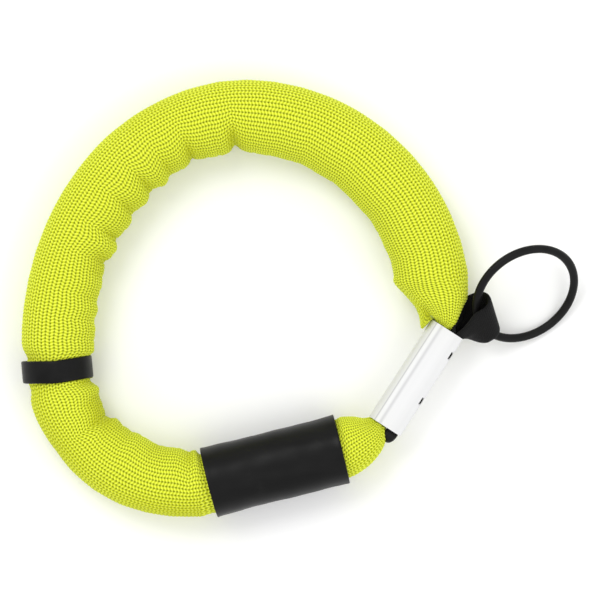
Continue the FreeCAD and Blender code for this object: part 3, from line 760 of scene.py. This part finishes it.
def make_ring(look):
    """The rubber ring, with the faint line its mould leaves round it."""
    outward, tangent = ring_axes()
    normal = np.cross(outward, tangent)
    round_it = TAU * np.arange(RING_STEPS) / RING_STEPS
    section = TAU * np.arange(RING_SECTION_STEPS) / RING_SECTION_STEPS
    line = 0.035 * np.exp(-(np.sin(section) / 0.10) ** 2)
    thick = (RING_SECTION - 0.02 + line)[:, None] + 0.015 * np.sin(5 * round_it + 1)[None, :]
    reach = RING_RADIUS + thick * np.cos(section)[:, None]
    points = (RING_CENTRE + (reach * np.cos(round_it))[..., None] * outward
              + (reach * np.sin(round_it))[..., None] * tangent
              + (thick * np.sin(section)[:, None])[..., None] * normal)
    piece = turned_piece("o_ring_moulded", points, look, "ring")
    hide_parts("o_ring")


# ---------------------------------------------------------------- woven tape

TAPE_THICK = 0.8
TAPE_HALF = 5.3         # half the width of the tape at the fold
TAPE_OFFSET = 2.4       # from the clip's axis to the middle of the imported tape
PACK_HALF_WIDE = 1.7
PACK_HALF_HIGH = 2.4
PACK_COLUMNS = 96
SLOTS = (9.5, -4.35)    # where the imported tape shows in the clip, along it
TAIL_OUT = 3.35         # how far the sealed end stands out of the clip
TAIL_ROUND = 2.2        # length of its rounded part
TAIL_STRAIGHT = 2.4     # where its straight part starts
FOLD_AXIS = unit(np.array([-0.47, 0.71, 0.53]))     # across the tape, in the middle of the fold
TOP_AXIS = unit(np.array([-0.38, 0.80, 0.48]))      # and in its upper and lower layers
BOTTOM_AXIS = unit(np.array([-0.58, 0.66, 0.50]))
TOP_SHIFT = 0.5         # how far each layer is moved across the tape
BOTTOM_SHIFT = 1.2
FOLD_MIDDLE = 3.1       # from the middle of the eye to the middle of each layer
FOLD_AHEAD = 1.1        # how far the fold lies beyond the ring it holds
FLARE = 1.15            # how much wider the fold is at its upper end
CURL = 1.25             # how far the tape curls up across its width at the clip
ENTRY_HALF = 3.0        # half its width there
ENTRY_GAP = 1.1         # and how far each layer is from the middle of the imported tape
ENTRY_PULL = 7.0        # how straight a layer leaves the clip, and how straight it meets the fold
FOLD_PULL = 7.5
FOLD_ROWS = 20
LEG_ROWS = 40
STRIP_COLUMNS = 21


def capped(points):
    """Vertices and faces of a closed bar from a grid of its sections."""
    rows, columns = points.shape[:2]
    ends = np.stack([points[0].mean(axis=0), points[-1].mean(axis=0)])
    vertices = np.concatenate([points.reshape(-1, 3), ends])
    faces = grid_faces(rows, columns)
    for column in range(columns):
        beside = (column + 1) % columns
        faces.append([rows * columns, beside, column])
        faces.append([rows * columns + 1, (rows - 1) * columns + column, (rows - 1) * columns + beside])
    return vertices, faces


def woven(name, points, data, look, body):
    """A piece of tape with its weave coordinates."""
    vertices, faces = capped(points)
    piece = new_piece(name, vertices, faces, look, body)
    values = np.concatenate([data.reshape(-1, 3), data[0, :1], data[-1, :1]])
    piece.data.attributes.new("stitch", "FLOAT_VECTOR", "POINT").data.foreach_set(
        "vector", values.ravel())
    return piece


def make_tape_tail(look):
    """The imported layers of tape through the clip, melted round at their lower end."""
    angles = TAU * np.arange(PACK_COLUMNS) / PACK_COLUMNS
    blunt = (np.abs(np.cos(angles)) ** 5 + np.abs(np.sin(angles)) ** 5) ** -0.2
    wide, high = blunt * np.cos(angles), blunt * np.sin(angles)
    end = -CLIP_LENGTH / 2 - TAIL_OUT
    along = np.concatenate([end + TAIL_ROUND * (1 - np.cos(np.linspace(0, math.pi / 2, 14))),
                            np.linspace(end + TAIL_STRAIGHT, CLIP_LENGTH / 2, 60)])
    round_end = np.clip((along - end) / TAIL_ROUND, 0, 1)
    shrink = np.sqrt(1 - (1 - round_end) ** 2.4)[:, None]
    layer = 0.13 * np.exp(-(np.sin(wide * math.pi * 2 / 1.05) / 0.25) ** 2)
    groove = layer[None, :] * np.abs(high)[None, :] ** 4 * smooth(1.2, 2.6, along - end)[:, None]
    left = -TAPE_OFFSET + PACK_HALF_WIDE * wide[None, :] * (0.25 + 0.75 * shrink) * (shrink > 0)
    for slot in SLOTS:
        near = smooth(1.15, 0.75, np.abs(along - slot))[:, None]
        left = left - 0.52 * near * smooth(-0.6, -0.9, wide)[None, :]
    up = (PACK_HALF_HIGH - groove) * high[None, :] * shrink
    lean = 0.35 * (1 - round_end)[:, None]
    points = in_clip(np.broadcast_to(along[:, None], left.shape), left + lean, up)[::-1]
    data = np.zeros(points.shape)
    data[..., 0] = high[None, :] * PACK_HALF_HIGH
    data[..., 1] = along[::-1][:, None]
    data[..., 2] = smooth(2.9, 1.9, along - end)[::-1][:, None]
    piece = woven("tape_tail_layers", points[:, ::-1], data[:, ::-1], look, "loop")
    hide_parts("tape_tail")


def tape_leg(eye, apex, axis, normal, entry_side):
    """Stations of one leg, from inside the clip to the fold."""
    start = CLIP_CENTRE + CLIP_AXIS * (CLIP_LENGTH / 2 - 2) - CLIP_LEFT * TAPE_OFFSET
    stations = []
    for t in np.linspace(0, 1, LEG_ROWS):
        ease = smooth(0.02, 0.85, t)
        base = (start * (1 + 2 * t) * (1 - t) ** 2 + CLIP_AXIS * ENTRY_PULL * t * (1 - t) ** 2
                + eye * t * t * (3 - 2 * t) + apex * FOLD_PULL * t * t * (t - 1))
        width = unit(UP * (1 - ease) + axis * ease)
        side = unit(entry_side * (1 - ease) + normal * ease)
        side = unit(side - width * np.dot(side, width))
        stations.append((base + side * (ENTRY_GAP + (FOLD_MIDDLE - ENTRY_GAP) * ease), width, side,
                         ENTRY_HALF + (TAPE_HALF - ENTRY_HALF) * ease, CURL * (1 - ease)))
    return stations


def strip_stations():
    """Middle, width direction, outward normal, half width and curl down one leg and back."""
    outward, _ = ring_axes()
    eye = RING_CENTRE - outward * (RING_RADIUS - FOLD_AHEAD)
    apex = unit(outward - FOLD_AXIS * np.dot(outward, FOLD_AXIS))
    top = np.cross(apex, FOLD_AXIS)
    top = top if top[2] > 0 else -top
    upper = tape_leg(eye + TOP_AXIS * TOP_SHIFT, apex, TOP_AXIS, top, -CLIP_LEFT)
    lower = tape_leg(eye + BOTTOM_AXIS * BOTTOM_SHIFT, apex, BOTTOM_AXIS, -top, CLIP_LEFT)
    stations = upper
    for turn in np.linspace(0, math.pi, FOLD_ROWS)[1:-1]:
        share = turn / math.pi
        axis = unit(TOP_AXIS * (1 - share) + BOTTOM_AXIS * share)
        normal = top * math.cos(turn) + apex * math.sin(turn)
        middle = eye + axis * (TOP_SHIFT * (1 - share) + BOTTOM_SHIFT * share) + normal * FOLD_MIDDLE
        normal = unit(normal - axis * np.dot(normal, axis))
        stations.append((middle, axis, normal, TAPE_HALF, 0.0))
    return stations + lower[::-1]


def make_tape_eye(look):
    """The tape from the clip round the ring and back, flat at the fold and gathered at the clip."""
    across = np.linspace(-1, 1, STRIP_COLUMNS)
    rows, data = [], []
    length = 0.0
    before = None
    for middle, width, normal, half, curl in strip_stations():
        turn = across * max(curl, 1e-3)
        flat = half * np.sin(turn) / max(curl, 1e-3)
        drop = half * (np.cos(turn) - 1) / max(curl, 1e-3)
        ripple = 0.10 * np.sin(across * 9 + 0.5) * min(curl, 1)
        flare = FLARE * across * (1 - curl / CURL)
        line = middle + flat[:, None] * width + (drop + ripple + flare)[:, None] * normal
        lean = np.cos(turn)[:, None] * normal + np.sin(turn)[:, None] * width
        thin = TAPE_THICK / 2 * (1 - 0.5 * np.abs(across) ** 12)[:, None]
        rows.append(np.concatenate([line - lean * thin, (line + lean * thin)[::-1]]))
        length += 0.0 if before is None else float(np.linalg.norm(middle - before))
        before = middle
        place = np.concatenate([across, across[::-1]]) * half
        data.append(np.stack([place, np.full_like(place, length), np.zeros_like(place)], axis=-1))
    piece = woven("tape_eye_folded", np.array(rows), np.array(data), look, None)
    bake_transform(piece)
    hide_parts("tape_eye")


# ---------------------------------------------------------------- foam and hidden pieces

FOAM_ROWS = 4           # how much coarser the foam's grid is
FOAM_COLUMNS = 3
FOAM_GAP = 0.12
FOAM_BORE = 1.5
FOAM_BORE_COLUMNS = 27


def make_foam(skin, look):
    """The foam rod, which takes the shape of the pleats above it and has a bore for the cord."""
    _, base, at, _, _, _ = skin
    rows = np.flatnonzero((at > 2 - SLEEVE_LENGTH) & (at < TUBE_LENGTH - NECK_LEAD))[::FOAM_ROWS]
    outer = (base - grid_normals(base) * (COVER_WALL + FOAM_GAP))[rows][:, ::FOAM_COLUMNS]
    bore_angles = TAU * np.arange(FOAM_BORE_COLUMNS) / FOAM_BORE_COLUMNS
    bore = np.array([tube_loop(distance, FOAM_BORE, bore_angles) for distance in at[rows]])
    vertices, faces = walled_tube(outer, bore)
    piece = new_piece("foam_core_rod", vertices, faces, look)
    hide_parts("foam_core")


def dress(node, material):
    """A better material on a CAD node that keeps its shape."""
    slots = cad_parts[node].data.materials
    slots.clear()
    slots.append(material)


# ---------------------------------------------------------------- stage, in metres

FLOOR_HALF = 1.5
WORLD_LIGHT = 0.95
KEY_POWER = 3.0
FILL_POWER = 1.5
CAMERA_HEIGHT = 1.2
CAMERA_X = -0.000108
CAMERA_Y = 0.000563
VIEW_WIDTH = 0.1546     # what the camera sees of the loop's middle plane
SENSOR_WIDTH = 36       # in the camera's own millimetres


def make_floor():
    look = Look("floor_paint", Roughness=0.6, Specular_IOR_Level=0.1)
    cloudy = look.noise(6, 3)
    colour = look.mix(cloudy, (0.965, 0.965, 0.965), (0.985, 0.985, 0.985))
    material = look.finish(colour)
    mesh = bpy.data.meshes.new("floor")
    corners = [(x * FLOOR_HALF, y * FLOOR_HALF, 0) for x, y in ((-1, -1), (1, -1), (1, 1), (-1, 1))]
    mesh.from_pydata(corners, [], [(0, 1, 2, 3)])
    mesh.materials.append(material)
    floor = bpy.data.objects.new("floor", mesh)
    bpy.context.scene.collection.objects.link(floor)


def area_light(name, place, aim, size, power):
    light = bpy.data.lights.new(name, "AREA")
    light.shape = "DISK"
    light.size = size
    light.energy = power
    lamp = bpy.data.objects.new(name, light)
    lamp.location = place
    lamp.rotation_euler = (Vector(aim) - Vector(place)).to_track_quat("-Z", "Y").to_euler()
    bpy.context.scene.collection.objects.link(lamp)


def make_stage():
    scene = bpy.context.scene
    scene.view_settings.view_transform = "Standard"
    world = bpy.data.worlds.new("soft_room")
    world.use_nodes = True
    world.node_tree.nodes["Background"].inputs["Color"].default_value = (1, 1, 1, 1)
    world.node_tree.nodes["Background"].inputs["Strength"].default_value = WORLD_LIGHT
    scene.world = world
    area_light("key", (-0.35, 0.45, 0.9), (0, 0, 0), 0.5, KEY_POWER)
    area_light("fill", (0.5, -0.35, 0.8), (0, 0, 0), 0.6, FILL_POWER)
    make_floor()
    camera = bpy.data.objects.new("camera", bpy.data.cameras.new("camera"))
    camera.data.sensor_width = SENSOR_WIDTH
    camera.data.lens = SENSOR_WIDTH * (CAMERA_HEIGHT - LIFT * MM) / VIEW_WIDTH
    camera.data.clip_start = 0.05
    camera.data.clip_end = 10
    camera.location = (CAMERA_X, CAMERA_Y, CAMERA_HEIGHT)
    scene.collection.objects.link(camera)
    scene.camera = camera


# ---------------------------------------------------------------- assembly

def main():
    skin = knitted_skin()
    at = skin[2]
    knit = knit_look()
    cuts = [0, int(np.searchsorted(at, BAND_ALONG)), int(np.searchsorted(at, COVER_CUT)), len(at)]
    for name, first, last in zip(("knit_cover_heel", "knit_cover_side", "knit_cover_crown"),
                                 cuts[:-1], cuts[1:]):
        cover_piece(name, slice(first, min(last + 1, len(at))), skin, knit)
    make_foam(skin, foam_look())
    turn = (0, 0, -math.radians(SLEEVE_HEADING))
    shrunk = rubber_look("shrunk_sleeve", (0.004, 0.004, 0.004), 2600, 0.28, 0.42, turn, (0.06, 1, 1))
    moulded = rubber_look("moulded_band", (0.004, 0.004, 0.004), 2600, 0.30, 0.44)
    rubber = rubber_look("ring_rubber", (0.006, 0.006, 0.006), 3800, 0.32, 0.55)
    make_sleeve(shrunk)
    make_band(moulded)
    make_ring(rubber)
    tape = tape_look()
    make_tape_tail(tape)
    make_tape_eye(tape)
    dress("clip_shell", clip_look())
    dress("core_cord", cord_look())
    make_stage()


main()
